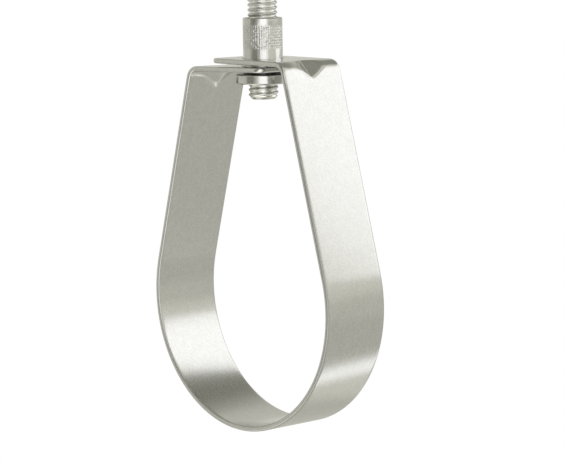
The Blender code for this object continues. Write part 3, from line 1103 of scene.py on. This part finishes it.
# %% Turned steel
RING_CROSS_SCALE = 150.0
RING_DETAIL = 2.0
RING_LIGHT = (0.94, 1.06)
RING_POLISH = 0.05
TURNED_SPECKLE = (0.88, 1.12)
TURNED_RELIEF = 0.000020
TURNED_RELIEF_STRENGTH = 0.4


def turned_finish(name, colour, roughness, ring_scale):
    """Zinc-plated turned steel: fine rings round the axis, and a speckle."""
    material, tree, shader = new_metal(name)
    point = tree.nodes.new("ShaderNodeTexCoord").outputs["Object"]
    rings = add_grain(tree, point, (RING_CROSS_SCALE, RING_CROSS_SCALE, ring_scale), RING_DETAIL)
    speckle = add_noise(tree, point, SPECKLE_SCALE, SPECKLE_DETAIL)
    grain = range_node(tree, speckle, NOISE_RANGE, TURNED_SPECKLE)
    light = product_of(tree, grain, range_node(tree, rings, NOISE_RANGE, RING_LIGHT))
    tree.links.new(add_tint(tree, colour, light), shader.inputs["Base Color"])
    rough = range_node(tree, rings, NOISE_RANGE, (roughness - RING_POLISH, roughness + RING_POLISH))
    tree.links.new(rough, shader.inputs["Roughness"])
    relief = add_bump(tree, speckle, TURNED_RELIEF, TURNED_RELIEF_STRENGTH)
    tree.links.new(relief, shader.inputs["Normal"])
    return material, tree, shader, point


def darken(tree, shader, factor):
    """Multiply the colour that a shader already has by a factor."""
    plated = shader.inputs["Base Color"].links[0].from_socket
    tree.links.new(vector_node(tree, "MULTIPLY", plated, factor), shader.inputs["Base Color"])


print("turned rings are", RING_LIGHT[0], "to", RING_LIGHT[1], "times as light as the metal")

# %% The nut's finish
NUT_COLOUR = (0.622, 0.620, 0.600)
NUT_ROUGHNESS = 0.20
NUT_RING_SCALE = 3500.0
KNURL_ROUGHNESS = 0.16
KNURL_SOFTNESS = 0.0004
# Painted shade: the heights of a black band on the nut, in the shadowed gap under the tab.
GAP_SHADE_BELOW_FLANGE_TOP = 0.00015
GAP_SHADE_ABOVE_FLANGE_TOP = 0.0009
GAP_SHADE_SOFTNESS = 0.00008


def height_band(tree, point, low, high, softness):
    """1 between two heights and 0 outside them, with a soft step at each."""
    away = away_from(tree, split(tree, point)["Z"], (low + high) / 2)
    half = (high - low) / 2
    return range_node(tree, away, (half - softness, half + softness), (1.0, 0.0), "SMOOTHSTEP")


def nut_finish():
    """Turned steel, duller on the knurl, with black painted shade in the gap between tab and flange."""
    material, tree, shader, point = turned_finish("plated_nut", NUT_COLOUR, NUT_ROUGHNESS, NUT_RING_SCALE)
    knurl = height_band(tree, point, KNURL_TOP - KNURL_HEIGHT, KNURL_TOP, KNURL_SOFTNESS)
    polish = shader.inputs["Roughness"].links[0].from_socket
    dull = math_node(tree, "ADD", polish, math_node(tree, "MULTIPLY", knurl, KNURL_ROUGHNESS))
    tree.links.new(dull, shader.inputs["Roughness"])
    # Painted shade: in the gap under the tab, the colour and the metallic both drop to 0.
    flange_top = nut_low[2] + FLANGE_THICKNESS
    low, high = flange_top - GAP_SHADE_BELOW_FLANGE_TOP, flange_top + GAP_SHADE_ABOVE_FLANGE_TOP
    outside_gap_shade = math_node(tree, "SUBTRACT", 1.0, height_band(tree, point, low, high, GAP_SHADE_SOFTNESS))
    darken(tree, shader, outside_gap_shade)
    tree.links.new(outside_gap_shade, shader.inputs["Metallic"])
    return material


nut.data.materials.append(nut_finish())
print("turned finish on", nut.name)

# %% The rod's finish
ROD_COLOUR = (0.84, 0.838, 0.81)
ROD_ROUGHNESS = 0.28
ROD_RING_SCALE = 1500.0
# Painted shade on the thread: its crests are darkened, standing in for the darker reflection they catch.
CREST_SHADE_ABOVE_CREST = 0.06
CREST_SHADE_REACH = 0.12
CREST_SHADE_FADE = 0.18
CREST_SHADE_DARKENING = 0.30


def rod_finish():
    """Plated thread, its crests painted darker as shade and its roots left bright.

    The thread's phase is counted as in thread_drop, in turns. The painted shade is full within its
    reach of a line that lies a little above each crest, and fades smoothly beyond it.
    """
    material, tree, shader, point = turned_finish("plated_rod", ROD_COLOUR, ROD_ROUGHNESS, ROD_RING_SCALE)
    parts = split(tree, point)
    above_crest = math_node(tree, "SUBTRACT", parts["Z"], THREAD_CREST_Z)
    pitches = math_node(tree, "DIVIDE", above_crest, THREAD_PITCH)
    angle = math_node(tree, "ARCTAN2", parts["Y"], parts["X"])
    turns = math_node(tree, "SUBTRACT", pitches, math_node(tree, "DIVIDE", angle, 2 * np.pi))
    phase = math_node(tree, "FRACT", math_node(tree, "ADD", turns, 0.5 - CREST_SHADE_ABOVE_CREST))
    away = away_from(tree, phase, 0.5)
    # Painted shade: the colour is darkened round each crest.
    crest_shade = range_node(tree, away, (CREST_SHADE_REACH, CREST_SHADE_REACH + CREST_SHADE_FADE), (1.0, 0.0), "SMOOTHSTEP")
    shaded = math_node(tree, "MULTIPLY", crest_shade, CREST_SHADE_DARKENING)
    darken(tree, shader, math_node(tree, "SUBTRACT", 1.0, shaded))
    return material


rod.data.materials.append(rod_finish())
print("worn crests on", rod.name)

# %% [markdown]
# ## The floor
#
# A pale round floor lies well under the hanging loop. Its white is part light of its own,
# for the camera, and part reflected, so the hanger's soft shadow still darkens it. Towards
# its edge it grows clear, so that no line shows where it ends. It is clear from below too,
# because a hanger is often seen from there, and a sheet in between would veil it.

# %% The floor
FLOOR_BELOW_LOOP = 0.12
FLOOR_RADIUS = 0.60
FLOOR_CLEAR_FROM = 0.25
FLOOR_RINGS = 8
FLOOR_SPOKES = 64
PAPER_COLOUR = (0.5, 0.5, 0.5, 1.0)
PAPER_GLOW = 0.52


def make_floor():
    """A round sheet of rings and spokes that faces up."""
    angle = np.linspace(2 * np.pi, 0.0, FLOOR_SPOKES + 1)
    share = np.linspace(0.0, 1.0, FLOOR_RINGS + 1)[:, None]
    level = band_low[2] - FLOOR_BELOW_LOOP
    sheet = turned_sheet(FLOOR_RADIUS * share, level, angle[None, :])
    mesh = bpy.data.meshes.new("studio_floor")
    mesh.from_pydata(sheet.reshape(-1, 3), [], sheet_faces(sheet.shape[0], sheet.shape[1], 0))
    floor = bpy.data.objects.new("studio_floor", mesh)
    bpy.context.scene.collection.objects.link(floor)
    return floor


def floor_paper():
    """Paper that is half lit and half glowing, clear towards the floor's edge and from below."""
    material = bpy.data.materials.new("floor_paper")
    material.use_nodes = True
    tree = material.node_tree
    tree.nodes.clear()
    place = tree.nodes.new("ShaderNodeTexCoord")
    level = vector_node(tree, "MULTIPLY", place.outputs["Object"], (1.0, 1.0, 0.0))
    distance = vector_node(tree, "DISTANCE", level, (0.0, 0.0, 0.0), "Value")
    clear = range_node(tree, distance, (FLOOR_CLEAR_FROM, FLOOR_RADIUS), (0.0, 1.0))
    side = tree.nodes.new("ShaderNodeNewGeometry")
    clear = math_node(tree, "MAXIMUM", clear, side.outputs["Backfacing"])
    paper = tree.nodes.new("ShaderNodeBsdfDiffuse")
    paper.inputs["Color"].default_value = PAPER_COLOUR
    glow = tree.nodes.new("ShaderNodeEmission")
    glow.inputs["Strength"].default_value = PAPER_GLOW
    both = tree.nodes.new("ShaderNodeAddShader")
    tree.links.new(paper.outputs[0], both.inputs[0])
    tree.links.new(glow.outputs[0], both.inputs[1])
    fade_out(tree, both.outputs[0], clear)
    return material


floor = make_floor()
floor.data.materials.append(floor_paper())
floor.visible_glossy = False
print("floor", round(FLOOR_BELOW_LOOP * 1000), "mm under the loop")

# %% [markdown]
# ## What each piece stands for
#
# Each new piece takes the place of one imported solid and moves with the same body. The band
# slides along the rod, the nut turns and slides, and the rod stays where it hangs.

# %% Bodies, replaced solids and finishes
PIECES = [
    (band, "loop", "band", "strip_steel"),
    (nut, "nut", "knurled_nut", "nut_steel"),
    (rod, "rod", "threaded_rod", "rod_steel"),
]
for piece, body, node, slot in PIECES:
    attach(piece, body)
    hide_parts(node)
    print(piece.name, "moves with", body)
